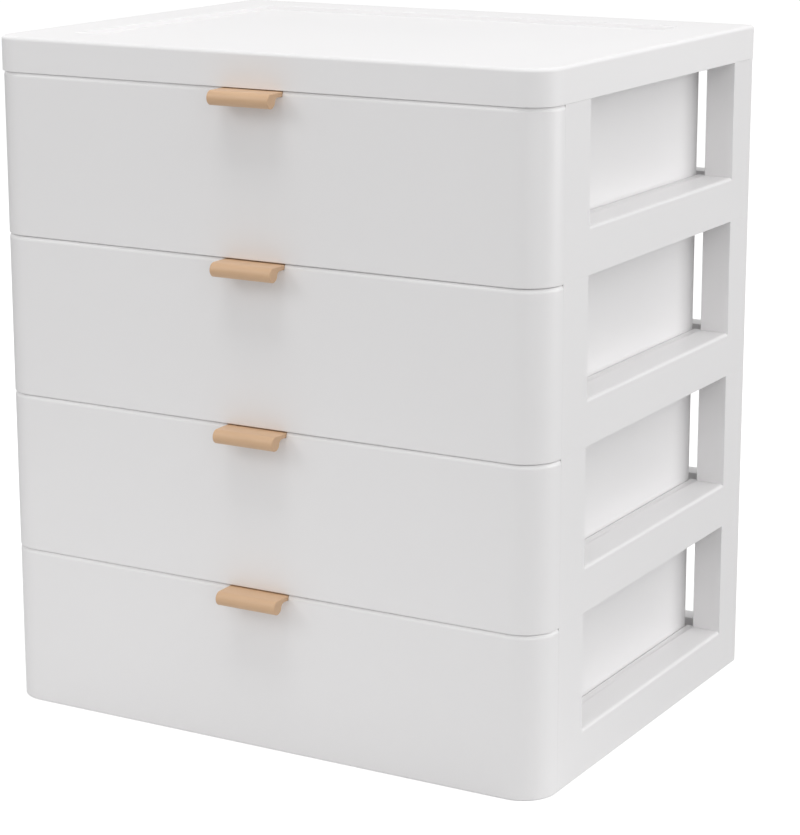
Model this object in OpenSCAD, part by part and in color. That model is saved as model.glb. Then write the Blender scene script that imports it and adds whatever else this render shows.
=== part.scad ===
// Desktop mini drawers: four stacked tiers under one top board, each tier an open frame with a
// sliding drawer. Millimetres. +Z is up, the drawer fronts face -Y, and the origin is on the desk
// at the middle of the plan, handles included.

/* [Overall] */
// Width of the top board, the widest piece
overall_w = 260; // [220:1:320]
// Depth of the top board, front to back
overall_d = 202; // [180:1:260]
// Height from the desk to the top of the board
overall_h = 290; // [250:1:340]

/* [Top board] */
// Height of the board with its skirt
board_h = 14.6; // [14:0.1:20]
// Thickness of the skirt
board_skirt = 2.6; // [2:0.1:3]
// Thickness of the plate under the tray
board_plate = 2.4; // [1.6:0.1:3]
// Radius of the two front corners in plan
board_front_r = 13.5; // [8:0.5:24]
// Radius of the two rear corners in plan
board_rear_r = 3; // [2.5:0.5:12]
// Radius along the top edge
board_edge_r = 1.4; // [0.4:0.1:2]
// Margin between the board's edge and the shallow tray in its top
tray_margin = 25; // [15:1:40]
// Depth of the tray
tray_depth = 2; // [0.5:0.1:2.6]
// Radius of the tray's corners
tray_r = 3; // [1:0.5:8]
// Thickness of the ribs under the board
rib_t = 1.6; // [1:0.1:3]
// Height of the ribs
rib_h = 5; // [2:0.5:8]
// Number of ribs from front to back
rib_count = 5; // [1:1:9]

/* [Tier frame] */
// How far the board overhangs the frames at the sides and at the back
frame_inset = 0.2; // [0:0.1:2]
// Wall thickness of the frames
frame_wall = 2.4; // [1.8:0.1:3]
// Height of the side ledges and of the back rail
rail_h = 19.2; // [14:0.1:26]
// Radius along the outer edge of each ledge
ledge_r = 1.4; // [0.4:0.1:2]
// Width of the side rails, from the outside of the frame to the wall that guides the drawer
rail_w = 16.9; // [14.5:0.1:24]
// Thickness of the rib along the middle of each rail's hollow
rail_rib = 1.6; // [1:0.1:2.4]
// Width of the columns across the frame
column_w = 13; // [11:0.5:14]
// Depth of the front columns
front_column_d = 22; // [14:0.5:30]
// Depth of the rear columns
rear_column_d = 21.6; // [16:0.1:30]
// Radius of the frame's rear corners in plan
frame_rear_r = 3; // [2:0.5:9]
// Depth of the back rail
back_rail_d = 9.6; // [6:0.1:12]
// Width of the runner under each side of the drawer
runner_w = 8; // [5:0.5:14]
// Height of the runners and of the front crossbar
runner_h = 5; // [4:0.5:7]
// Thickness of the lips that edge the runners and the crossbar
runner_lip = 1.8; // [1.2:0.1:2.4]
// Depth of the front crossbar
crossbar_d = 12; // [8:0.5:20]
// Height of the spigots on the columns
spigot_h = 8; // [5:0.5:9]
// Wall of the hollow spigots
spigot_wall = 1.6; // [1:0.1:2]
// Clearance around a spigot in its socket
spigot_gap = 0.3; // [0.1:0.05:0.5]

/* [Drawer tub] */
// Thickness of the tub's sides
tub_wall = 1.8; // [1.2:0.1:2.4]
// Thickness of the tub's floor
tub_floor = 2; // [1.4:0.1:3]
// Radius of the tub's rear corners in plan
tub_rear_r = 10; // [5:0.5:16]
// Radius of the tub's front corners in plan
tub_front_r = 3; // [2.5:0.5:6]
// Clearance between the tub's side and the frame's guide wall
tub_side_gap = 0.4; // [0.3:0.1:1.5]
// Running clearance between the tub's floor and the runners
tub_run_gap = 0.3; // [0.2:0.05:0.6]
// Clearance between the tub's rim and the tier above
tub_top_gap = 3.4; // [3:0.1:8]
// Space between the back of the tub and the back rail
tub_back_gap = 2.9; // [1:0.1:10]
// Distance of the stop lug from the back of the tub, which sets how far a drawer slides out
lug_inset = 5.3; // [3:0.1:60]
// Width of the stop lug under the tub
lug_w = 24; // [10:1:60]
// Thickness of the stop lug, front to back
lug_t = 4; // [2:0.5:6]
// Clearance between the stop lug and the underside of the frame
lug_lift = 1; // [0.5:0.1:2]

/* [Drawer front] */
// How far the drawer fronts stand back from the board's front edge
front_setback = 0.3; // [0:0.1:3]
// Radius of the drawer front's corners in plan
front_r = 14.5; // [8:0.5:20]
// Radius along the drawer front's top edge
front_edge_r = 2; // [0.4:0.1:2]
// How far the front wraps back along the sides of the cabinet
front_wrap = 15.9; // [13:0.1:24]
// Gap between the edge of the wrapped front and the frame
front_back_gap = 0.4; // [0.3:0.1:1]
// Thickness of the front's wall and of its sides
front_wall = 2.4; // [1.8:0.1:3]
// Thickness of the flanges along its top and bottom edges
front_flange = 2.2; // [1.6:0.1:2.6]
// Gap between the top edge of a front and the tier line
front_top_gap = 0.15; // [0.1:0.05:1]
// Gap between the bottom edge of a front and the tier line
front_bottom_gap = 0.1; // [0.1:0.05:2]
// Radius of the pins that hold the front on the tub
pin_r = 2; // [1:0.1:3]
// Radial clearance of those pins in the tub
pin_gap = 0.1; // [0.05:0.01:0.2]
// Radius of the bosses that carry the pins
boss_r = 3.5; // [3.2:0.1:6]
// Distance of the pins from the sides of the tub
pin_side = 27; // [12:1:60]
// Distance of the lower pins from the bottom of the tub, and of the upper ones from its rim
pin_edge = 13; // [8:0.5:20]

/* [Handle] */
// Length of the handle along the drawer front
handle_len = 28.6; // [20:0.1:60]
// How far the handle stands out from the front
handle_reach = 10.9; // [10.5:0.1:20]
// Radius of the rounded bar along its front
bar_r = 3; // [2.2:0.1:4]
// Radius of the hollow between the bar and the underside of the plate
bar_hollow_r = 2; // [1:0.1:3]
// Thickness of its plate
plate_t = 2; // [1.2:0.1:2.4]
// Gap between the plate and the tier line above it
plate_top_gap = 0.35; // [0.3:0.05:0.6]
// Clearance around the handle in its notch
notch_gap = 0.15; // [0.1:0.05:0.3]
// Thickness of the tab that hangs behind the front
tab_t = 1.8; // [1.2:0.1:2]
// Height of the tab with the plate
tab_h = 16; // [14:0.5:22]
// How much shorter than the handle the tab is, at each end
tab_inset = 3; // [1:0.5:5]
// Thickness of the pad on the back of the front that takes the screws
pad_t = 3; // [2:0.1:3.4]
// Radius of the screws' shanks
screw_r = 1.2; // [0.8:0.1:1.4]
// Radius of the screws' heads
screw_head_r = 2.3; // [1.8:0.1:2.8]
// Height of the screws' heads
screw_head_h = 1.6; // [1:0.1:1.8]
// Depth of the screws in the front behind the tab
screw_depth = 4.2; // [2:0.1:4.4]
// Distance of each screw from the end of the tab
screw_edge = 4; // [3.5:0.1:6]
// Distance of the screws below the top of the handle
screw_drop = 10; // [8:0.5:12]

/* [Hidden] */
tiers = 4;
$fn = 96;

white = [0.93, 0.93, 0.92];
tan = [0.80, 0.66, 0.49];
steel = [0.70, 0.71, 0.72];

// How far a cut runs past the face that it opens
past = 1;
// Radial clearance of a screw in its pilot hole, and in the tab
pilot_gap = 0.05;
screw_hole_gap = 0.25;
// Cross recess of the screws: its depth, the width of its slots and their half length
recess_depth = 0.8;
recess_slot = 0.6;
recess_reach = 1.4;
// Space between the screws' heads and the tub
head_gap = 0.6;
// How far the hollow under the handle's plate bites into the bar and the plate
hollow_sink = 0.05;

// Heights: every tier is one pitch high, and tier 1 is the top one
pitch = (overall_h - board_h) / tiers;
board_base = overall_h - board_h;
board_ceiling = board_h - tray_depth - board_plate;

// The cabinet's plan
board_x = overall_w / 2;
board_front = (handle_reach - front_setback - overall_d) / 2;
board_back = board_front + overall_d;
frame_x = board_x - frame_inset;
frame_back = board_back - frame_inset;
front_face = board_front + front_setback;
front_back = front_face + front_wrap;
frame_front = front_back + front_back_gap;
column_x = frame_x - column_w;
rear_column_front = frame_back - rear_column_d;
front_column_back = frame_front + front_column_d;
guide_x = frame_x - rail_w;
tub_x = guide_x - tub_side_gap;
runner_x = guide_x - runner_w;
crossbar_back = frame_front + crossbar_d;
back_rail_front = frame_back - back_rail_d;

// The drawer, measured from the foot of its tier
pad_back = front_face + front_wall + pad_t;
tab_back = pad_back + tab_t;
tub_front = tab_back + screw_head_h + head_gap;
tub_back = back_rail_front - tub_back_gap;
tub_base = runner_h + tub_run_gap;
tub_rim = pitch - tub_top_gap;
front_top = pitch - front_top_gap;
pin_x = tub_x - pin_side;
handle_top = pitch - plate_top_gap;
bar_y = front_face - handle_reach + bar_r;
screw_x = handle_len / 2 - tab_inset - screw_edge;

// What is left of a corner's radius after an inset
function inner(radius, inset) = max(radius - inset, 0);

module both_sides() {
    children();
    mirror([1, 0, 0]) children();
}

// A rectangle centred on X, with round corners at its front and at its back
module plan(half_w, front, back, front_radius, back_radius) {
    translate([-half_w, front + front_radius])
        square([2 * half_w, back - front - front_radius - back_radius]);
    plan_end(half_w, front + front_radius, front_radius);
    plan_end(half_w, back - back_radius, back_radius);
}

// The two round corners of one end of a plan, centred on the line y, with the strip between them
module plan_end(half_w, y, radius) {
    if (radius > 0) {
        translate([-half_w + radius, y - radius]) square([2 * (half_w - radius), 2 * radius]);
        for (side = [-1, 1]) translate([side * (half_w - radius), y]) circle(r = radius);
    }
}

module board_plan(inset) {
    plan(board_x - inset, board_front + inset, board_back - inset,
        inner(board_front_r, inset), inner(board_rear_r, inset));
}

module frame_plan(inset) {
    plan(frame_x - inset, frame_front + inset, frame_back - inset, 0, inner(frame_rear_r, inset));
}

// Plan of one right-hand column, less an inset all round
module column_plan(front, back, inset) {
    intersection() {
        frame_plan(inset);
        translate([column_x + inset, front + inset])
            square([column_w - 2 * inset, back - front - 2 * inset]);
    }
}

// Plans of the two right-hand columns
module column_plans(inset) {
    column_plan(frame_front, front_column_back, inset);
    column_plan(rear_column_front, frame_back, inset);
}

// Section of a slab from X = 0 to its edge, with the top of the edge rounded
module edge_section(depth, height, edge_r) {
    square([depth - edge_r, height]);
    square([depth, height - edge_r]);
    translate([depth - edge_r, height - edge_r]) circle(r = edge_r);
}

// Extrudes a section drawn in X and Z from one Y to another
module extrude_back(front, back) {
    translate([0, back, 0]) rotate([90, 0, 0]) linear_extrude(back - front) children();
}

// The front end of a slab, back to the line y: two round corners and the strip between them
module slab_end(half_w, y, radius, height, edge_r) {
    both_sides() translate([half_w - radius, y, 0]) rotate([0, 0, -90])
        rotate_extrude(angle = 90) edge_section(radius, height, edge_r);
    translate([half_w - radius, y, 0]) rotate([90, 0, -90])
        linear_extrude(2 * (half_w - radius)) edge_section(radius, height, edge_r);
}

// A slab with two round front corners and a square back, its other top edges rounded
module slab(half_w, front, back, radius, height, edge_r) {
    slab_end(half_w, front + radius, radius, height, edge_r);
    both_sides() extrude_back(front + radius, back) edge_section(half_w, height, edge_r);
}

// The top board, with sockets for the spigots of the top tier
module top_board() {
    rear_line = board_back - board_rear_r;
    color(white) translate([0, 0, board_base]) {
        difference() {
            union() {
                slab(board_x, board_front, rear_line, board_front_r, board_h, board_edge_r);
                translate([0, rear_line, 0]) mirror([0, 1, 0])
                    slab_end(board_x, 0, board_rear_r, board_h, board_edge_r);
            }
            translate([0, 0, -past]) linear_extrude(board_ceiling + past) board_plan(board_skirt);
            translate([0, 0, board_h - tray_depth]) linear_extrude(tray_depth + past)
                plan(board_x - tray_margin, board_front + tray_margin, board_back - tray_margin,
                    tray_r, tray_r);
        }
        both_sides() linear_extrude(board_ceiling + board_plate / 2) difference() {
            column_plans(0);
            column_plans(frame_wall);
        }
        board_ribs();
    }
}

// Ribs under the board, evenly spaced between its columns
module board_ribs() {
    spacing = 2 * column_x / (rib_count + 1);
    for (i = [1:rib_count])
        translate([-column_x + i * spacing - rib_t / 2, board_front + board_skirt / 2,
            board_ceiling - rib_h])
            cube([rib_t, overall_d - board_skirt, rib_h + board_plate / 2]);
}

// Section of the right-hand rail across the frame: ledge, guide wall and runner
module rail_section() {
    translate([guide_x, 0]) square([rail_w, rail_h - ledge_r]);
    translate([guide_x, 0]) square([rail_w - ledge_r, rail_h]);
    translate([frame_x - ledge_r, rail_h - ledge_r]) circle(r = ledge_r);
    translate([runner_x, 0]) square([runner_w, runner_h]);
}

// Section of the hollows under the rail, on both sides of its rib, and under the runner
module rail_hollows() {
    hollow_w = (rail_w - 2 * frame_wall - rail_rib) / 2;
    for (x = [guide_x + frame_wall, frame_x - frame_wall - hollow_w])
        translate([x, -past]) square([hollow_w, rail_h - frame_wall + past]);
    translate([runner_x + runner_lip, -past])
        square([runner_w - runner_lip, runner_h - runner_lip + past]);
}

// The right-hand rail from the front of the frame into the rear column, closed at both ends
module side_rail() {
    difference() {
        extrude_back(frame_front, rear_column_front + frame_wall) rail_section();
        extrude_back(frame_front + frame_wall, rear_column_front) rail_hollows();
    }
}

// The runner's rear end, from the rear column to the back rail
module runner_end() {
    difference() {
        translate([runner_x, rear_column_front - past, 0])
            cube([runner_w, back_rail_front - rear_column_front + 2 * past, runner_h]);
        translate([runner_x + runner_lip, rear_column_front - 2 * past, -past])
            cube([runner_w - 2 * runner_lip, back_rail_front - rear_column_front + 4 * past,
                runner_h - runner_lip + past]);
    }
}

// Channel across the frame, open below, between two X and two Y faces
module channel(half_w, front, back, height, wall) {
    difference() {
        translate([-half_w, front, 0]) cube([2 * half_w, back - front, height]);
        translate([-half_w + wall, front + wall, -past])
            cube([2 * (half_w - wall), back - front - 2 * wall, height - wall + past]);
    }
}

// One tier's frame, with its foot at height 0
module frame_at_foot() {
    difference() {
        union() {
            both_sides() {
                side_rail();
                runner_end();
                linear_extrude(pitch) column_plans(0);
            }
            channel(column_x + frame_wall / 2, back_rail_front, frame_back, rail_h, frame_wall);
            channel(runner_x + runner_lip / 2, frame_front, crossbar_back, runner_h, runner_lip);
        }
        both_sides() translate([0, 0, -past])
            linear_extrude(pitch - frame_wall + past) column_plans(frame_wall);
        both_sides() linear_extrude(pitch + past) column_plans(frame_wall + spigot_gap + spigot_wall);
    }
    both_sides() translate([0, 0, pitch - frame_wall / 2])
        linear_extrude(spigot_h + frame_wall / 2) difference() {
            column_plans(frame_wall + spigot_gap);
            column_plans(frame_wall + spigot_gap + spigot_wall);
        }
}

module tier_frame(tier) {
    color(white) at_tier(tier) frame_at_foot();
}

module at_tier(tier) {
    translate([0, 0, (tiers - tier) * pitch]) children();
}

module tub_plan(inset) {
    plan(tub_x - inset, tub_front + inset, tub_back - inset, inner(tub_front_r, inset),
        inner(tub_rear_r, inset));
}

// Places its children at the four pins, pointing back from the face at y
module at_pins(y) {
    for (x = [-pin_x, pin_x], z = [tub_base + pin_edge, tub_rim - pin_edge])
        translate([x, y, z]) rotate([-90, 0, 0]) children();
}

module drawer_tub(tier) {
    color(white) at_tier(tier) {
        difference() {
            translate([0, 0, tub_base]) linear_extrude(tub_rim - tub_base) tub_plan(0);
            translate([0, 0, tub_base + tub_floor]) linear_extrude(pitch) tub_plan(tub_wall);
            at_pins(tub_front - past) cylinder(r = pin_r + pin_gap, h = tub_wall + 2 * past);
        }
        translate([-lug_w / 2, tub_back - lug_inset - lug_t, lug_lift])
            cube([lug_w, lug_t, tub_base + tub_floor / 2 - lug_lift]);
    }
}

// The hollow moulding of a drawer front, open at the back
module front_shell() {
    front_h = front_top - front_bottom_gap;
    difference() {
        translate([0, 0, front_bottom_gap])
            slab(frame_x, front_face, front_back + front_r, front_r, front_h, front_edge_r);
        translate([-board_x, front_back, front_bottom_gap - past])
            cube([overall_w, front_r + past, front_h + 2 * past]);
        translate([0, 0, front_bottom_gap + front_flange])
            linear_extrude(front_h - 2 * front_flange)
            plan(frame_x - front_wall, front_face + front_wall, front_back + past,
                inner(front_r, front_wall), 0);
        translate([-tub_x + tub_wall, tub_front + tub_wall, front_top - front_flange - past])
            cube([2 * (tub_x - tub_wall), front_back - tub_front, front_flange + 2 * past]);
    }
}

// The notch through the front's top edge that the handle sits in
module handle_notch() {
    translate([-handle_len / 2 - notch_gap, front_face - past, handle_top - plate_t - notch_gap])
        cube([handle_len + 2 * notch_gap, front_wall + past, plate_t + past]);
    translate([-handle_len / 2 - notch_gap, front_face + front_wall - notch_gap,
        front_top - front_flange - past])
        cube([handle_len + 2 * notch_gap, tab_back - front_face - front_wall + 2 * notch_gap,
            front_flange + 2 * past]);
}

// Places its children at the two handle screws, pointing forward from the face at y
module at_handle_screws(y) {
    for (x = [-screw_x, screw_x])
        translate([x, y, handle_top - screw_drop]) rotate([90, 0, 0]) children();
}

module drawer_front(tier) {
    color(white) at_tier(tier) {
        difference() {
            union() {
                difference() {
                    front_shell();
                    handle_notch();
                }
                translate([-handle_len / 2, front_face + front_wall / 2, handle_top - tab_h])
                    cube([handle_len, pad_back - front_face - front_wall / 2,
                        tab_h - plate_t - front_flange]);
            }
            at_handle_screws(pad_back + past) cylinder(r = screw_r + pilot_gap,
                h = screw_depth + pilot_gap + past);
        }
        at_pins(front_face + front_wall / 2)
            cylinder(r = boss_r, h = tub_front - front_face - front_wall / 2);
        at_pins(tub_front - past) cylinder(r = pin_r, h = tub_wall + past);
    }
}

// Section of the handle's bar and plate, drawn in Y and Z. The plate's underside runs into the
// bar in a round hollow.
module handle_section() {
    hollow_z = bar_r - plate_t - bar_hollow_r + hollow_sink;
    hollow_y = sqrt(pow(bar_r + bar_hollow_r - hollow_sink, 2) - hollow_z * hollow_z);
    filler_z = hollow_z * bar_r / (bar_r + bar_hollow_r);
    translate([bar_y, handle_top - bar_r]) {
        circle(r = bar_r);
        translate([0, bar_r - plate_t]) square([tab_back - bar_y, plate_t]);
        difference() {
            translate([0, filler_z]) square([hollow_y, bar_r - plate_t / 2 - filler_z]);
            translate([hollow_y, hollow_z]) circle(r = bar_hollow_r);
        }
    }
}

module handle(tier) {
    color(tan) at_tier(tier) difference() {
        union() {
            rotate([90, 0, 90]) translate([0, 0, -handle_len / 2]) linear_extrude(handle_len)
                handle_section();
            translate([-handle_len / 2 + tab_inset, pad_back, handle_top - tab_h])
                cube([handle_len - 2 * tab_inset, tab_t, tab_h]);
        }
        at_handle_screws(tab_back + past) cylinder(r = screw_r + screw_hole_gap, h = tab_t + 2 * past);
    }
}

// A pan-head screw with a cross recess; its head's underside is at height 0 and it points up
module screw() {
    cylinder(r = screw_r, h = tab_t + screw_depth);
    difference() {
        translate([0, 0, -screw_head_h]) cylinder(r = screw_head_r, h = screw_head_h);
        for (turn = [0, 90]) rotate([0, 0, turn])
            translate([-recess_reach, -recess_slot / 2, -screw_head_h - past])
                cube([2 * recess_reach, recess_slot, recess_depth + past]);
    }
}

module handle_screws(tier) {
    color(steel) at_tier(tier) at_handle_screws(tab_back) screw();
}

top_board();
for (tier = [1:tiers]) {
    tier_frame(tier);
    drawer_tub(tier);
    drawer_front(tier);
    handle(tier);
    handle_screws(tier);
}
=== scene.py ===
"""Looks of the desktop mini drawers: moulded white cabinet and drawers, tan handles, studio.

Sizes are in millimetres here, as in the part's source, and become metres where a mesh is made.
"""

import math

import bmesh
import bpy
from mathutils import Matrix, Vector


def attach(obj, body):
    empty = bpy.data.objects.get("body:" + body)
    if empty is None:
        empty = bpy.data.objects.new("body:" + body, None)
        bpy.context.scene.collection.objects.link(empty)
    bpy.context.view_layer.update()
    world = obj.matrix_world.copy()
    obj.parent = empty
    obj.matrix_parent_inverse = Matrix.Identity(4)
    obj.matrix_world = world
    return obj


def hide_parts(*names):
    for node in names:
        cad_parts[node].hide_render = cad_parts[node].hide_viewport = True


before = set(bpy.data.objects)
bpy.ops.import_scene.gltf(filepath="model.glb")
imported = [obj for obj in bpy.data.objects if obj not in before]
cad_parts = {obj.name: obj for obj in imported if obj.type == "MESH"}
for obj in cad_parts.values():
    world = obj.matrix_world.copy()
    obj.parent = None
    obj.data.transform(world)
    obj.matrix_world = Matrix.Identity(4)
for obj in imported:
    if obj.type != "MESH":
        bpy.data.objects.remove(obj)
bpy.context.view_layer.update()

MM = 0.001
TIERS = (1, 2, 3, 4)

# Sizes of the cabinet
BOARD_HALF_W = 130
BOARD_FRONT = -95.7
BOARD_BACK = 106.3
BOARD_BASE = 275.4
BOARD_TOP = 290
BOARD_CEILING = 285.6
BOARD_FRONT_R = 13.5
BOARD_REAR_R = 3
BOARD_EDGE_R = 1.6
BOARD_LIP_R = 0.25
BOARD_SKIRT = 2.6
BOARD_SKIRT_R = 0.4
BOARD_CEILING_R = 0.6
BOARD_PLATE = 2.4
TRAY_MARGIN = 25
TRAY_FLOOR = 288
TRAY_R = 3
TRAY_EDGE_R = 0.4
TRAY_FOOT_R = 0.1
TRAY_SLOPE = 0.02
SOCKET_RISE = 1
SOCKET_ROOF = 285.55
SOCKET_ROOF_R = 0.3
PITCH = 68.85
FRAME_X = 129.8
FRAME_FRONT = -79.1
FRAME_BACK = 106.1
FRAME_REAR_R = 3
FRAME_WALL = 2.4
FRAME_EDGE_R = 0.35
FRAME_JOINT_R = 0.12
SPIGOT_EDGE_R = 0.25
COLUMN_W = 13
FRONT_COLUMN_BACK = -57.1
REAR_COLUMN_FRONT = 84.5

# Sizes of a drawer, measured from the foot of its tier
TUB_HALF_W = 112.5
TUB_FRONT = -86
TUB_BACK = 93.6
TUB_BASE = 5.3
TUB_RIM = 65.45
TUB_FLOOR = 2
TUB_WALL = 1.8
TUB_FRONT_R = 3
TUB_REAR_R = 10
TUB_FOOT_R = 1.2
TUB_RIM_R = 0.6
TUB_INNER_R = 1.6
LUG_HALF_W = 12
LUG_FRONT = 84.3
LUG_BACK = 88.3
LUG_BOTTOM = 1
LUG_EDGE_R = 0.5
PIN_X = 85.5
PIN_EDGE = 13
PIN_SINK = 0.2
PIN_BORE_R = 2.1
FRONT_FACE = -95.4
FRONT_TOP = 68.7
FRONT_FOOT = 0.1
FRONT_R = 14.5
FRONT_PROUD = 0.25
FRONT_DRAFT = 0.1
FRONT_EDGE_R = 2
FRONT_TOP_TILT = 40
FRONT_TOP_R = 0.12
FRONT_FOOT_H = 0.6
FRONT_FOOT_IN = 0.4
PAD_BACK = -90
TAB_BACK = -88.2

# Sizes of a handle and its screws
HANDLE_HALF = 14.3
HANDLE_TOP = 68.5
PLATE_T = 2
BAR_R = 3
BAR_Y = -103.3
HOLLOW_R = 2
HOLLOW_SINK = 0.05
BAR_END_R = 0.4
PLATE_END_R = 0.35
TAB_INSET = 3
TAB_H = 16
TAB_SINK = 0.1
TAB_EDGE_R = 0.3
SCREW_X = 8
SCREW_DROP = 10
SCREW_R = 1.2
SCREW_HEAD_R = 2.3
SCREW_HEAD_H = 1.6
SCREW_LENGTH = 6
RECESS_DEPTH = 0.8
RECESS_SLOT = 0.6
RECESS_REACH = 1.4

# How dull the white plastic is: satin on the frames and drawers, matte on the top board
SATIN = 0.26
MATTE = 0.46

# Strength of the even light from all round
AMBIENT = 0.55

# How finely curves are drawn
CORNER_STEPS = 20
FILLET_STEPS = 6
EDGE_STEPS = 3
# Angle between faces, in degrees, from which an edge is drawn sharp
SHARP_ANGLE = 50
# Distance under which a point counts as lying on a face
NEAR = 0.03
# Distance under which two points of a mesh are one, in metres
WELD = 1e-6


# ---- Meshes ----

def foot(tier):
    """Height of the foot of a tier; tier 1 is the top one."""
    return (len(TIERS) - tier) * PITCH


def round_rectangle(x0, x1, y0, y1, radii, z):
    """Points of a rectangle with round corners, anticlockwise from above, starting front left."""
    corners = ((x0, y0, 1, 1, 180), (x1, y0, -1, 1, 270), (x1, y1, -1, -1, 0), (x0, y1, 1, -1, 90))
    points = []
    for (x, y, in_x, in_y, start), radius in zip(corners, radii):
        for i in range(CORNER_STEPS + 1):
            angle = math.radians(start + 90 * i / CORNER_STEPS)
            points.append((x + radius * (in_x + math.cos(angle)),
                           y + radius * (in_y + math.sin(angle)), z))
    return points


def plan_ring(plan, inset, z):
    """The outline of a plan at a height, less an inset all round."""
    x0, x1, y0, y1, radii = plan
    shrunk = [max(radius - inset, 0.02) for radius in radii]
    return round_rectangle(x0 + inset, x1 - inset, y0 + inset, y1 - inset, shrunk, z)


def rounded_section(corners):
    """A section's corners (inset, height, radius) as a smooth line of (inset, height)."""
    line = [corners[0][:2]]
    for before, (x, z, radius), after in zip(corners, corners[1:], corners[2:]):
        corner = Vector((x, z))
        to_before = (Vector(before[:2]) - corner).normalized()
        to_after = (Vector(after[:2]) - corner).normalized()
        half = to_before.angle(to_after) / 2
        reach = radius / math.tan(half)
        centre = corner + (to_before + to_after).normalized() * radius / math.sin(half)
        start = corner + to_before * reach - centre
        turn = start.angle_signed(corner + to_after * reach - centre)
        for i in range(FILLET_STEPS + 1):
            angle = -turn * i / FILLET_STEPS
            swung = Vector((start.x * math.cos(angle) - start.y * math.sin(angle),
                            start.x * math.sin(angle) + start.y * math.cos(angle)))
            line.append(tuple(centre + swung))
    line.append(corners[-1][:2])
    return line


def loft(bm, rings):
    """Skins a closed solid through rings of as many points each, with a cap at each end."""
    loops = [[bm.verts.new(Vector(point) * MM) for point in ring] for ring in rings]
    for lower, upper in zip(loops, loops[1:]):
        for i in range(len(lower)):
            j = (i + 1) % len(lower)
            bm.faces.new((lower[i], lower[j], upper[j], upper[i]))
    bm.faces.new(loops[0][::-1])
    bm.faces.new(loops[-1])


def round_box(bm, low, high, radius):
    """A box between two corners with its edges rounded."""
    size = [b - a for a, b in zip(low, high)]
    centre = [(a + b) / 2 for a, b in zip(low, high)]
    place = Matrix.Translation(Vector(centre) * MM) @ Matrix.Diagonal((*(s * MM for s in size), 1))
    corners = bmesh.ops.create_cube(bm, size=1, matrix=place)["verts"]
    edges = {edge for corner in corners for edge in corner.link_edges}
    round_edges(bm, list(edges), radius)


def round_edges(bm, edges, radius):
    """Rounds edges of a bmesh."""
    bmesh.ops.bevel(bm, geom=edges, offset=radius * MM, offset_type="OFFSET",
                    segments=EDGE_STEPS, profile=0.5, affect="EDGES")


def smooth_curves(mesh):
    """Shades a mesh smoothly, up to its sharp edges."""
    for face in mesh.polygons:
        face.use_smooth = True
    mesh.set_sharp_from_angle(angle=math.radians(SHARP_ANGLE))


def finish_mesh(bm, name, material):
    """A piece from a bmesh: one material, smooth curves, flat flats."""
    bmesh.ops.remove_doubles(bm, verts=bm.verts, dist=WELD)
    bmesh.ops.dissolve_degenerate(bm, edges=bm.edges, dist=WELD)
    mesh = bpy.data.meshes.new(name)
    bm.to_mesh(mesh)
    bm.free()
    smooth_curves(mesh)
    mesh.materials.clear()
    mesh.materials.append(material)
    piece = bpy.data.objects.new(name, mesh)
    bpy.context.scene.collection.objects.link(piece)
    return piece


def made_plain(piece):
    """Turns a piece's modifiers into its mesh."""
    bpy.context.view_layer.update()
    evaluated = piece.evaluated_get(bpy.context.evaluated_depsgraph_get())
    mesh = bpy.data.meshes.new_from_object(evaluated)
    mesh.name = piece.name
    piece.modifiers.clear()
    piece.data = mesh
    return piece


def flatten_flats(piece):
    """Weights the normals by face area, so that small round edges don't shade the flats."""
    weigh = piece.modifiers.new("flat flats", "WEIGHTED_NORMAL")
    weigh.mode = "FACE_AREA"
    weigh.keep_sharp = True
    return made_plain(piece)


def cad_copy(node):
    """A welded copy of a CAD node's mesh, with its flat faces in one piece each."""
    bm = bmesh.new()
    bm.from_mesh(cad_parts[node].data)
    bmesh.ops.remove_doubles(bm, verts=bm.verts, dist=WELD)
    bmesh.ops.dissolve_limit(bm, angle_limit=math.radians(0.2), verts=bm.verts, edges=bm.edges)
    return bm


def rounded_copy(node, name, material, edge_radius):
    """A copy of a CAD node with its sharp edges rounded; edge_radius(edge) gives each radius."""
    bm = cad_copy(node)
    least_turn = math.radians(30)
    widest = 0.6
    weight = bm.edges.layers.float.new("bevel_weight_edge")
    for edge in bm.edges:
        if edge.calc_face_angle(0) > least_turn:
            edge[weight] = edge_radius(edge) / widest
    piece = finish_mesh(bm, name, material)
    bevel = piece.modifiers.new("round edges", "BEVEL")
    bevel.limit_method = "WEIGHT"
    bevel.width = widest * MM
    bevel.segments = EDGE_STEPS
    bevel.use_clamp_overlap = False
    made_plain(piece)
    smooth_curves(piece.data)
    return flatten_flats(piece)


def bored(piece, radius, y0, y1, places):
    """Cuts round holes along Y through a piece at places in X and Z."""
    bm = bmesh.new()
    for x, z in places:
        place = Matrix.Translation(Vector((x, (y0 + y1) / 2, z)) * MM)
        bmesh.ops.create_cone(bm, cap_ends=True, segments=48, radius1=radius * MM,
                              radius2=radius * MM, depth=(y1 - y0) * MM,
                              matrix=place @ Matrix.Rotation(math.pi / 2, 4, "X"))
    cutter = finish_mesh(bm, "cutter", piece.data.materials[0])
    cut = piece.modifiers.new("bores", "BOOLEAN")
    cut.operation = "DIFFERENCE"
    cut.solver = "EXACT"
    cut.object = cutter
    made_plain(piece)
    bpy.data.objects.remove(cutter)
    return piece


def moved_copy(piece, name, up):
    """A copy of a piece, raised by a distance."""
    mesh = piece.data.copy()
    mesh.transform(Matrix.Translation((0, 0, up * MM)))
    copy = bpy.data.objects.new(name, mesh)
    bpy.context.scene.collection.objects.link(copy)
    return copy


# ---- Node trees ----

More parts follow.
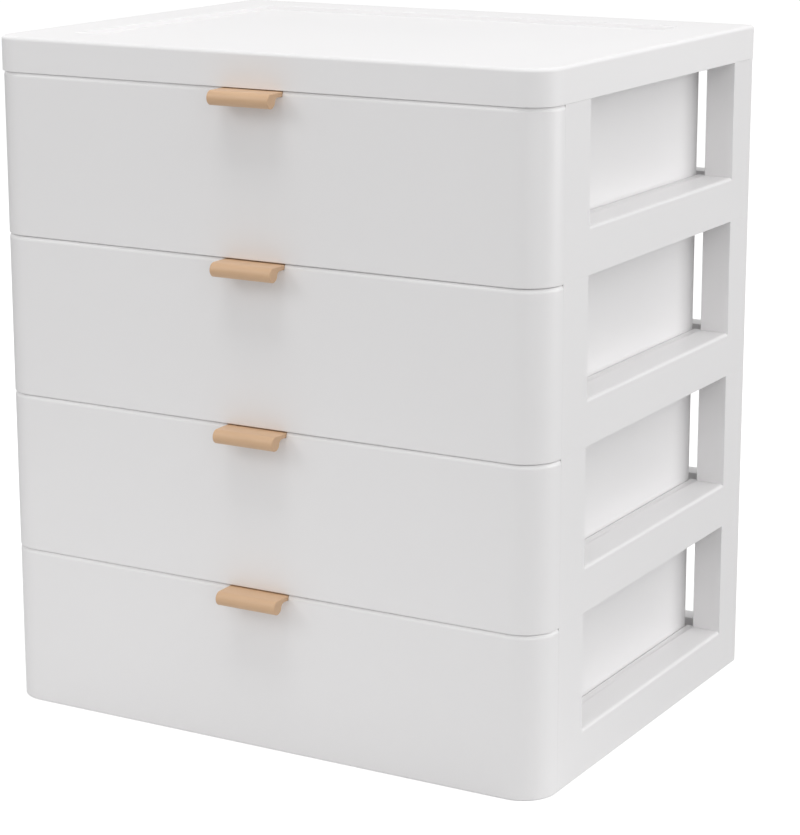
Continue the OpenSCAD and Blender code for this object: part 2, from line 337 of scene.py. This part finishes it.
class NodeTree:
    """A node tree that is filled through one method."""

    def __init__(self, tree):
        self.tree = tree
        tree.nodes.clear()

    def feed(self, target, value):
        """Puts a number, a colour, one link or several links on a socket."""
        if isinstance(value, Value):
            self.tree.links.new(value.socket, target)
        elif isinstance(value, bpy.types.NodeSocket):
            self.tree.links.new(value, target)
        elif isinstance(value, list):
            for link in value:
                self.tree.links.new(link, target)
        elif value is not None:
            target.default_value = value

    def node(self, kind, settings=None, *in_order, **by_name):
        """Adds a node: its settings first, then its sockets' values or links."""
        made = self.tree.nodes.new(kind)
        for key, value in (settings or {}).items():
            setattr(made, key, value)
        for target, value in zip([s for s in made.inputs if s.enabled], in_order):
            self.feed(target, value)
        for key, value in by_name.items():
            target = next(s for s in made.inputs
                          if s.enabled and s.name.replace(" ", "_") == key)
            self.feed(target, value)
        return made


class ShapeTree(NodeTree):
    """A geometry node tree with named inputs."""

    def __init__(self, name, inputs):
        super().__init__(bpy.data.node_groups.new(name, "GeometryNodeTree"))
        self.sockets = {}
        self.tree.interface.new_socket("Geometry", in_out="OUTPUT",
                                       socket_type="NodeSocketGeometry")
        for label, kind in inputs.items():
            item = self.tree.interface.new_socket(label, in_out="INPUT", socket_type=kind)
            self.sockets[label] = item.identifier
        self.given = self.node("NodeGroupInput").outputs

    def close(self, geometry):
        """Realizes the instances, sets the material and ends the tree."""
        real = self.node("GeometryNodeRealizeInstances", Geometry=geometry)
        dressed = self.node("GeometryNodeSetMaterial", Geometry=real.outputs["Geometry"],
                            Material=self.given["Material"])
        self.node("NodeGroupOutput", Geometry=dressed.outputs["Geometry"])

    def grown(self, name, **values):
        """A piece made by this tree from the values of its inputs."""
        piece = bpy.data.objects.new(name, bpy.data.meshes.new(name))
        bpy.context.scene.collection.objects.link(piece)
        modifier = piece.modifiers.new(name, "NODES")
        modifier.node_group = self.tree
        for label, value in values.items():
            modifier[self.sockets[label.replace("_", " ")]] = value
        return made_plain(piece)


def ribs_tree():
    """A row of equal ribs, side by side along X."""
    tree = ShapeTree("row of ribs", {
        "Count": "NodeSocketInt", "Spacing": "NodeSocketFloat", "Rib size": "NodeSocketVector",
        "Middle of first": "NodeSocketVector", "Material": "NodeSocketMaterial"})
    given = tree.given
    step = tree.node("ShaderNodeCombineXYZ", X=given["Spacing"], Y=0.0, Z=0.0)
    row = tree.node("GeometryNodeMeshLine", {"mode": "OFFSET"}, Count=given["Count"],
                    Start_Location=given["Middle of first"], Offset=step.outputs[0])
    rib = tree.node("GeometryNodeMeshCube", Size=given["Rib size"])
    placed = tree.node("GeometryNodeInstanceOnPoints", Points=row.outputs["Mesh"],
                       Instance=rib.outputs["Mesh"])
    tree.close(placed.outputs["Instances"])
    return tree


def screws_tree():
    """Two pan-head screws with cross recesses, side by side along X, pointing along -Y."""
    tree = ShapeTree("pair of screws", {
        "Shank radius": "NodeSocketFloat", "Shank length": "NodeSocketFloat",
        "Head radius": "NodeSocketFloat", "Head height": "NodeSocketFloat",
        "Slot size": "NodeSocketVector", "Spacing": "NodeSocketFloat",
        "Seat of first": "NodeSocketVector", "Material": "NodeSocketMaterial"})
    given = tree.given
    half_length = tree.node("ShaderNodeMath", {"operation": "MULTIPLY"}, given["Shank length"],
                            0.5)
    half_head = tree.node("ShaderNodeMath", {"operation": "MULTIPLY"}, given["Head height"], -0.5)
    shank = tree.node("GeometryNodeMeshCylinder", {"fill_type": "NGON"}, Vertices=32,
                      Radius=given["Shank radius"], Depth=given["Shank length"])
    up = tree.node("ShaderNodeCombineXYZ", X=0.0, Y=0.0, Z=half_length.outputs[0])
    shank_up = tree.node("GeometryNodeTransform", Geometry=shank.outputs["Mesh"],
                         Translation=up.outputs[0])
    head = tree.node("GeometryNodeMeshCylinder", {"fill_type": "NGON"}, Vertices=48,
                     Radius=given["Head radius"], Depth=given["Head height"])
    slot = tree.node("GeometryNodeMeshCube", Size=given["Slot size"])
    down = tree.node("ShaderNodeCombineXYZ", X=0.0, Y=0.0, Z=half_head.outputs[0])
    slot_down = tree.node("GeometryNodeTransform", Geometry=slot.outputs["Mesh"],
                          Translation=down.outputs[0])
    slot_turned = tree.node("GeometryNodeTransform", Geometry=slot_down.outputs[0],
                            Rotation=(0.0, 0.0, math.pi / 2))
    cut = tree.node("GeometryNodeMeshBoolean", {"operation": "DIFFERENCE"},
                    Mesh_1=head.outputs["Mesh"],
                    Mesh_2=[slot_down.outputs[0], slot_turned.outputs[0]])
    head_down = tree.node("GeometryNodeTransform", Geometry=cut.outputs["Mesh"],
                          Translation=down.outputs[0])
    screw = tree.node("GeometryNodeJoinGeometry",
                      Geometry=[shank_up.outputs[0], head_down.outputs[0]])
    step = tree.node("ShaderNodeCombineXYZ", X=given["Spacing"], Y=0.0, Z=0.0)
    row = tree.node("GeometryNodeMeshLine", {"mode": "OFFSET"}, Count=2,
                    Start_Location=given["Seat of first"], Offset=step.outputs[0])
    placed = tree.node("GeometryNodeInstanceOnPoints", Points=row.outputs["Mesh"],
                       Instance=screw.outputs[0], Rotation=(math.pi / 2, 0.0, 0.0))
    tree.close(placed.outputs["Instances"])
    return tree


# ---- Materials ----

class Value:
    """A shader socket that Python's operators build Math nodes on."""

    def __init__(self, finish, socket):
        self.finish = finish
        self.socket = socket

    def _with(self, operation, first, second):
        made = self.finish.node("ShaderNodeMath", {"operation": operation}, first, second)
        return Value(self.finish, made.outputs[0])

    def __add__(self, other):
        return self._with("ADD", self, other)

    def __radd__(self, other):
        return self._with("ADD", other, self)

    def __mul__(self, other):
        return self._with("MULTIPLY", self, other)

    def __rmul__(self, other):
        return self._with("MULTIPLY", other, self)


class Finish(NodeTree):
    """A material being built from nodes."""

    def __init__(self, name):
        self.material = bpy.data.materials.new(name)
        self.material.use_nodes = True
        super().__init__(self.material.node_tree)

    def noise(self, scale, detail=2.0, roughness=0.5, stretch=(1, 1, 1)):
        """Noise between 0 and 1 over the piece's own place in metres."""
        place = self.node("ShaderNodeTexCoord").outputs["Object"]
        spread = self.node("ShaderNodeMapping", Vector=place, Scale=stretch).outputs[0]
        made = self.node("ShaderNodeTexNoise", Vector=spread, Scale=scale, Detail=detail,
                         Roughness=roughness)
        return Value(self, made.outputs["Fac"])

    def blend(self, amount, first, second):
        """A colour between two, by an amount."""
        made = self.node("ShaderNodeMix", {"data_type": "RGBA"}, amount, first, second)
        return next(s for s in made.outputs if s.enabled)

    def bumped(self, height, distance, strength, under=None):
        """A normal from a height, over another bump where one is given."""
        return self.node("ShaderNodeBump", Height=height, Distance=distance, Strength=strength,
                         Normal=under).outputs[0]

    def surface(self, **values):
        """Ends the material with one Principled shader."""
        return self.closed(self.node("ShaderNodeBsdfPrincipled", **values))

    def closed(self, shader):
        """Ends the material with a shader."""
        self.node("ShaderNodeOutputMaterial", Surface=shader.outputs[0])
        return self.material


def white_plastic(name, dullness):
    """Moulded white plastic: faint cloudiness, fine mould grain, slow sink of the walls."""
    finish = Finish(name)
    cloud = finish.noise(9, 3.0)
    grain = finish.noise(2600, 2.0, 0.6)
    sink = finish.noise(22, 1.0)
    colour = finish.blend(cloud, (0.884, 0.875, 0.878, 1), (0.908, 0.899, 0.902, 1))
    slow = finish.bumped(sink, 0.0004, 0.25)
    return finish.surface(
        Base_Color=colour, Roughness=dullness + 0.06 * cloud + 0.06 * grain, IOR=1.47,
        Normal=finish.bumped(grain, 0.00002, 0.35, slow))


def tan_plastic():
    """Satin tan plastic: slight flow streaks along the handle and a fine grain."""
    finish = Finish("tan moulded plastic")
    streak = finish.noise(260, 4.0, 0.6, (0.25, 1, 1))
    grain = finish.noise(3200, 2.0, 0.6)
    colour = finish.blend(streak, (0.645, 0.420, 0.252, 1), (0.712, 0.474, 0.295, 1))
    return finish.surface(
        Base_Color=colour, Roughness=0.34 + 0.08 * streak + 0.05 * grain, IOR=1.47,
        Normal=finish.bumped(grain, 0.00002, 0.35))


def screw_steel():
    """Plated steel with fine turning marks."""
    finish = Finish("plated steel")
    marks = finish.noise(1500, 3.0, 0.6, (1, 0.1, 1))
    colour = finish.blend(marks, (0.52, 0.53, 0.54, 1), (0.64, 0.65, 0.66, 1))
    return finish.surface(
        Base_Color=colour, Metallic=1.0, Roughness=0.24 + 0.16 * marks,
        Normal=finish.bumped(marks, 0.00002, 0.3))


# ---- Pieces ----

def board_shell(white, ribs):
    """The top board: skirt, tray and the ribs and sockets under it."""
    plan = (-BOARD_HALF_W, BOARD_HALF_W, BOARD_FRONT, BOARD_BACK,
            (BOARD_FRONT_R, BOARD_FRONT_R, BOARD_REAR_R, BOARD_REAR_R))
    tray = (-BOARD_HALF_W + TRAY_MARGIN, BOARD_HALF_W - TRAY_MARGIN, BOARD_FRONT + TRAY_MARGIN,
            BOARD_BACK - TRAY_MARGIN, (TRAY_R,) * 4)
    skirt = rounded_section([
        (BOARD_SKIRT + 1, BOARD_CEILING), (BOARD_SKIRT, BOARD_CEILING, BOARD_CEILING_R),
        (BOARD_SKIRT, BOARD_BASE, BOARD_SKIRT_R), (0, BOARD_BASE, BOARD_LIP_R),
        (0, BOARD_TOP, BOARD_EDGE_R), (3, BOARD_TOP)])
    edge = rounded_section([
        (-2.5, BOARD_TOP), (0, BOARD_TOP, TRAY_EDGE_R), (TRAY_SLOPE, TRAY_FLOOR, TRAY_FOOT_R),
        (2.5, TRAY_FLOOR)])
    socket = rounded_section([
        (2, BOARD_CEILING + SOCKET_RISE), (0, BOARD_CEILING + SOCKET_RISE, 0.1),
        (0, BOARD_BASE, BOARD_LIP_R), (FRAME_WALL, BOARD_BASE, BOARD_LIP_R),
        (FRAME_WALL, SOCKET_ROOF, SOCKET_ROOF_R), (FRAME_WALL + 1, SOCKET_ROOF)])
    bm = bmesh.new()
    loft(bm, [plan_ring(plan, inset, z) for inset, z in skirt]
         + [plan_ring(tray, inset, z) for inset, z in edge])
    for column in column_plans():
        loft(bm, [plan_ring(column, inset, z) for inset, z in socket])
    bm.from_mesh(ribs.data)
    bpy.data.objects.remove(ribs)
    return flatten_flats(finish_mesh(bm, "board_shell", white))


def column_plans():
    """Plans of the four columns; the rear ones have a round outer corner."""
    inner_x = FRAME_X - COLUMN_W
    plans = []
    for x0, x1, front_radii, rear_radii in (
            (-FRAME_X, -inner_x, (0, 0, 0, 0), (0, 0, 0, FRAME_REAR_R)),
            (inner_x, FRAME_X, (0, 0, 0, 0), (0, 0, FRAME_REAR_R, 0))):
        plans.append((x0, x1, FRAME_FRONT, FRONT_COLUMN_BACK, front_radii))
        plans.append((x0, x1, REAR_COLUMN_FRONT, FRAME_BACK, rear_radii))
    return plans


def board_ribs(white):
    """Five ribs from front to back under the board, with rounded edges."""
    count = 5
    spacing = 2 * (FRAME_X - COLUMN_W) / (count + 1)
    rib_t = 1.6
    rib_drop = 5
    rib_edge_r = 0.3
    top = BOARD_CEILING + BOARD_PLATE / 2
    ribs = ribs_tree().grown(
        "board_ribs", Count=count, Spacing=spacing * MM,
        Rib_size=(rib_t * MM, (BOARD_BACK - BOARD_FRONT - BOARD_SKIRT) * MM,
                  (top - BOARD_CEILING + rib_drop) * MM),
        Middle_of_first=(-spacing * (count - 1) / 2 * MM, (BOARD_BACK + BOARD_FRONT) / 2 * MM,
                         (top + BOARD_CEILING - rib_drop) / 2 * MM),
        Material=white)
    bm = bmesh.new()
    bm.from_mesh(ribs.data)
    round_edges(bm, bm.edges[:], rib_edge_r)
    bm.to_mesh(ribs.data)
    bm.free()
    return ribs


def frame_shell(white):
    """The lowest tier's frame with its moulded edges rounded."""

    def radius(edge):
        low, high = (vert.co / MM for vert in edge.verts)
        middle = (low + high) / 2
        if not edge.is_convex:
            return 0
        if middle.z > PITCH + NEAR:
            return SPIGOT_EDGE_R
        if abs(middle.z) < NEAR or abs(middle.z - PITCH) < NEAR:
            return FRAME_JOINT_R
        return FRAME_EDGE_R
    return rounded_copy("tier_frame_4", "frame_4_shell", white, radius)


def tub_shell(white):
    """The lowest drawer's tub: rounded rim and floor, bores for its front's pins, stop lug."""
    plan = (-TUB_HALF_W, TUB_HALF_W, TUB_FRONT, TUB_BACK,
            (TUB_FRONT_R, TUB_FRONT_R, TUB_REAR_R, TUB_REAR_R))
    floor_top = TUB_BASE + TUB_FLOOR
    section = rounded_section([
        (4, TUB_BASE), (0, TUB_BASE, TUB_FOOT_R), (0, TUB_RIM, TUB_RIM_R),
        (TUB_WALL, TUB_RIM, TUB_RIM_R), (TUB_WALL, floor_top, TUB_INNER_R), (5, floor_top)])
    pins = [(x, z) for x in (-PIN_X, PIN_X) for z in (TUB_BASE + PIN_EDGE, TUB_RIM - PIN_EDGE)]
    bm = bmesh.new()
    loft(bm, [plan_ring(plan, inset, z) for inset, z in section])
    tub = bored(finish_mesh(bm, "tub", white), PIN_BORE_R, TUB_FRONT - 1, TUB_FRONT + 4, pins)
    bm = bmesh.new()
    bm.from_mesh(tub.data)
    bpy.data.objects.remove(tub)
    round_box(bm, (-LUG_HALF_W, LUG_FRONT, LUG_BOTTOM), (LUG_HALF_W, LUG_BACK, TUB_BASE + 1),
              LUG_EDGE_R)
    return flatten_flats(finish_mesh(bm, "tub_4_shell", white))


def rounded_in(share, depth):
    """How far an elliptic edge has come in, at a share of its height."""
    return depth * (1 - math.sqrt(1 - min(max(share, 0), 1) ** 2))


def front_inset(height):
    """How far the drawer front's outside lies back from the plain front at a height.

    It stands a little proud at its foot, has a slight draft, and leans back in an arc at its
    top."""
    arc_r = FRONT_EDGE_R / math.sin(math.radians(FRONT_TOP_TILT))
    up_arc = max(height - FRONT_TOP + FRONT_EDGE_R, 0)
    return (FRONT_DRAFT * height / PITCH - FRONT_PROUD
            + arc_r - math.sqrt(arc_r ** 2 - up_arc ** 2)
            + rounded_in((height - FRONT_TOP) / FRONT_TOP_R + 1, FRONT_TOP_R)
            + rounded_in((FRONT_FOOT - height) / FRONT_FOOT_H + 1, FRONT_FOOT_IN))


def front_shell(white):
    """The lowest drawer's front: its outside shaped, its pins ending inside the tub's wall."""
    foot_cuts = (0.04, 0.16, 0.35, 0.6, 1)
    bm = cad_copy("drawer_front_4")
    for share in foot_cuts:
        bmesh.ops.bisect_plane(bm, geom=bm.verts[:] + bm.edges[:] + bm.faces[:], dist=WELD,
                               plane_co=(0, 0, (FRONT_FOOT + FRONT_FOOT_H * share) * MM),
                               plane_no=(0, 0, 1))
    straight_x = FRAME_X - FRONT_R
    straight_y = FRONT_FACE + FRONT_R
    for vert in bm.verts:
        place = vert.co / MM
        centre = Vector((max(-straight_x, min(straight_x, place.x)), max(straight_y, place.y),
                         place.z))
        outward = place - centre
        as_built = FRONT_R - rounded_in((place.z - FRONT_TOP) / FRONT_EDGE_R + 1, FRONT_EDGE_R)
        if abs(outward.length - as_built) < NEAR:
            vert.co = (centre + outward.normalized() * (FRONT_R - front_inset(place.z))) * MM
        elif abs(place.y - TUB_FRONT - TUB_WALL) < NEAR:
            vert.co.y -= PIN_SINK * MM
    return flatten_flats(finish_mesh(bm, "front_4_shell", white))


def handle_outline():
    """The handle's section in Y and Z: a round bar, a plate, and the hollow where they meet.

    Each point also gives the radius to which the handle's ends are rounded there."""
    bar_z = HANDLE_TOP - BAR_R
    under = HANDLE_TOP - PLATE_T
    rise = PLATE_T + HOLLOW_R - HOLLOW_SINK - BAR_R
    run = math.sqrt((BAR_R + HOLLOW_R - HOLLOW_SINK) ** 2 - rise ** 2)
    hollow_y = BAR_Y + run
    hollow_z = bar_z - rise
    hollow_steps = 12
    bar_steps = 48
    flat_steps = 4
    points = [(TAB_BACK, under, PLATE_END_R), (FRONT_FACE, under, PLATE_END_R)]
    join = math.degrees(math.atan2(rise, -run))
    for i in range(hollow_steps + 1):
        share = i / hollow_steps
        angle = math.radians(90 + (join - 90) * share)
        points.append((hollow_y + HOLLOW_R * math.cos(angle),
                       hollow_z + HOLLOW_R * math.sin(angle),
                       PLATE_END_R + (BAR_END_R - PLATE_END_R) * share))
    first = math.degrees(math.atan2(-rise, run))
    last = -270
    for i in range(1, bar_steps + 1):
        angle = math.radians(first + (last - first) * i / bar_steps)
        points.append((BAR_Y + BAR_R * math.cos(angle), bar_z + BAR_R * math.sin(angle),
                       BAR_END_R))
    for i in range(1, flat_steps + 1):
        share = i / flat_steps
        points.append((BAR_Y + BAR_R * share, HANDLE_TOP,
                       BAR_END_R + (PLATE_END_R - BAR_END_R) * share))
    points += [(FRONT_FACE, HANDLE_TOP, PLATE_END_R), (TAB_BACK, HANDLE_TOP, PLATE_END_R)]
    return points


def handle_grip(tan):
    """The lowest drawer's handle: its bar and plate, and the tab that hangs behind the front."""
    outline = handle_outline()
    count = len(outline)
    inward = []
    for i, (y, z, _) in enumerate(outline):
        before, after = outline[i - 1], outline[(i + 1) % count]
        way_in = Vector((y - before[0], z - before[1])).normalized()
        way_out = Vector((after[0] - y, after[1] - z)).normalized()
        across = way_in + way_out
        across = Vector((across.y, -across.x)).normalized()
        inward.append(across / max(abs(across.dot(Vector((way_in.y, -way_in.x)))), 0.5))

    def ring(end, share):
        """The outline where the end's rounding has turned by a share of a right angle."""
        angle = math.pi / 2 * share
        points = []
        for (y, z, radius), way in zip(outline, inward):
            inset = radius * (1 - math.cos(angle))
            points.append((end * (HANDLE_HALF - radius * (1 - math.sin(angle))),
                           y + way.x * inset, z + way.y * inset))
        return points
    shares = [i / FILLET_STEPS for i in range(FILLET_STEPS + 1)]
    bm = bmesh.new()
    loft(bm, [ring(-1, share) for share in shares[::-1]] + [ring(1, share) for share in shares])
    bmesh.ops.recalc_face_normals(bm, faces=bm.faces)
    round_box(bm, (-HANDLE_HALF + TAB_INSET, PAD_BACK, HANDLE_TOP - TAB_H),
              (HANDLE_HALF - TAB_INSET, TAB_BACK, HANDLE_TOP - TAB_SINK), TAB_EDGE_R)
    return flatten_flats(finish_mesh(bm, "handle_4_grip", tan))


def screw_pair(steel):
    """The two screws that clamp the lowest drawer's handle."""
    return screws_tree().grown(
        "screws_4", Shank_radius=SCREW_R * MM, Shank_length=SCREW_LENGTH * MM,
        Head_radius=SCREW_HEAD_R * MM, Head_height=SCREW_HEAD_H * MM,
        Slot_size=(2 * RECESS_REACH * MM, RECESS_SLOT * MM, 2 * RECESS_DEPTH * MM),
        Spacing=2 * SCREW_X * MM,
        Seat_of_first=(-SCREW_X * MM, TAB_BACK * MM, (HANDLE_TOP - SCREW_DROP) * MM),
        Material=steel)


def dress_tiers(model, name, node, body):
    """Copies a model of the lowest tier's piece to every tier and has each stand for its node."""
    for tier in TIERS:
        piece = model if tier == TIERS[-1] else moved_copy(model, name.format(tier), foot(tier))
        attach(piece, body.format(tier))
        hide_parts(node.format(tier))


def dress_cabinet():
    """Makes every piece of the cabinet and its drawers."""
    white = white_plastic("satin white plastic", SATIN)
    matte = white_plastic("matte white plastic", MATTE)
    tan = tan_plastic()
    board = board_shell(matte, board_ribs(matte))
    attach(board, "cabinet")
    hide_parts("top_board")
    dress_tiers(frame_shell(white), "frame_{}_shell", "tier_frame_{}", "cabinet")
    dress_tiers(tub_shell(white), "tub_{}_shell", "drawer_tub_{}", "drawer_{}")
    dress_tiers(front_shell(white), "front_{}_shell", "drawer_front_{}", "drawer_{}")
    dress_tiers(handle_grip(tan), "handle_{}_grip", "handle_{}", "drawer_{}")
    dress_tiers(screw_pair(screw_steel()), "screws_{}", "handle_screws_{}", "drawer_{}")


# ---- Studio ----

def grey(level):
    """A colour without a hue."""
    return (level, level, level, 1)


def studio_floor():
    """A wide floor that shows white to the camera and keeps the shadow; it is palest in front."""
    middle = (-0.12, -0.33, 0)
    pale_to, dull_from = 0.2, 0.6
    pale_share, dull_share = 0.74, 0.28
    pale_glow, dull_glow = 0.46, 0.9
    bpy.ops.mesh.primitive_plane_add(size=12, location=(0, 0, 0))
    floor = bpy.context.object
    floor.name = "studio_floor"
    finish = Finish("studio floor")
    seen = finish.node("ShaderNodeLightPath")
    place = finish.node("ShaderNodeTexCoord").outputs["Object"]
    away = finish.node("ShaderNodeVectorMath", {"operation": "DISTANCE"}, place, middle)
    far = finish.node("ShaderNodeMapRange", Value=away.outputs["Value"], From_Min=pale_to,
                      From_Max=dull_from).outputs[0]
    sheet = finish.node("ShaderNodeBsdfDiffuse",
                        Color=finish.blend(far, grey(pale_share), grey(dull_share)))
    white = finish.blend(far, grey(pale_glow), grey(dull_glow))
    glow = finish.node("ShaderNodeEmission", Color=white, Strength=seen.outputs["Is Camera Ray"])
    both = finish.node("ShaderNodeAddShader", None, sheet.outputs[0], glow.outputs[0])
    floor.data.materials.append(finish.closed(both))


def studio_world():
    """Even pale light from all round, seen as white."""
    world = bpy.data.worlds.new("studio")
    bpy.context.scene.world = world
    world.use_nodes = True
    sky = NodeTree(world.node_tree)
    path = sky.node("ShaderNodeLightPath").outputs
    eye = sky.node("ShaderNodeMath", {"operation": "MAXIMUM"}, path["Is Camera Ray"],
                   path["Is Transmission Ray"])
    strength = sky.node("ShaderNodeMapRange", Value=eye.outputs[0], To_Min=AMBIENT, To_Max=1.0)
    light = sky.node("ShaderNodeBackground", Color=grey(1), Strength=strength.outputs[0])
    sky.node("ShaderNodeOutputWorld", Surface=light.outputs[0])


def soft_lamp(name, place, aim, width, height, power):
    """A large area lamp at a place, aimed at a point."""
    lamp = bpy.data.lights.new(name, "AREA")
    lamp.shape = "RECTANGLE"
    lamp.size = width
    lamp.size_y = height
    lamp.energy = power
    holder = bpy.data.objects.new(name, lamp)
    bpy.context.scene.collection.objects.link(holder)
    holder.location = place
    holder.rotation_euler = (Vector(aim) - Vector(place)).to_track_quat("-Z", "Y").to_euler()


def studio_lamps():
    """Soft lamps: overhead, high at the front and right, and lower ones from all four corners."""
    soft_lamp("overhead_lamp", (0.2, 0.1, 1.6), (0, 0, 0.2), 1.4, 1.4, 2.1)
    soft_lamp("high_front_lamp", (0.0, -0.5, 1.6), (0, 0, 0.15), 0.6, 0.35, 4.7)
    soft_lamp("high_right_lamp", (1.10, -0.15, 1.35), (0, 0, 0.15), 0.9, 0.9, 2.8)
    soft_lamp("front_left_lamp", (-0.9, -1.2, 1.05), (0, 0, 0.2), 0.6, 0.6, 3.5)
    soft_lamp("front_right_lamp", (1.2, -1.3, 0.8), (0, 0, 0.15), 1.0, 1.0, 1.6)
    soft_lamp("low_right_lamp", (1.05, -0.9, 0.16), (0, 0, 0.1), 0.9, 0.3, 1.0)
    soft_lamp("rear_right_lamp", (1.35, 0.65, 0.45), (0, 0, 0.15), 1.0, 0.8, 7.0)
    soft_lamp("rear_left_lamp", (-1.4, 0.6, 0.9), (0, 0, 0.15), 0.8, 0.8, 4.0)


def studio_camera():
    """The camera: its place, its turn and its lens."""
    azimuth = math.radians(29.485)
    elevation = math.radians(13.357)
    back = Vector((math.sin(azimuth) * math.cos(elevation),
                   -math.cos(azimuth) * math.cos(elevation), math.sin(elevation)))
    lens = bpy.data.cameras.new("studio_camera")
    lens.lens = 112.08
    lens.sensor_width = 36
    lens.shift_x = -0.0186
    lens.shift_y = -0.0383
    holder = bpy.data.objects.new("studio_camera", lens)
    bpy.context.scene.collection.objects.link(holder)
    holder.location = (0.55952, -0.95372, 0.39816)
    holder.rotation_euler = (-back).to_track_quat("-Z", "Y").to_euler()
    bpy.context.scene.camera = holder


dress_cabinet()
studio_floor()
studio_world()
studio_lamps()
studio_camera()
bpy.context.scene.view_settings.view_transform = "Standard"
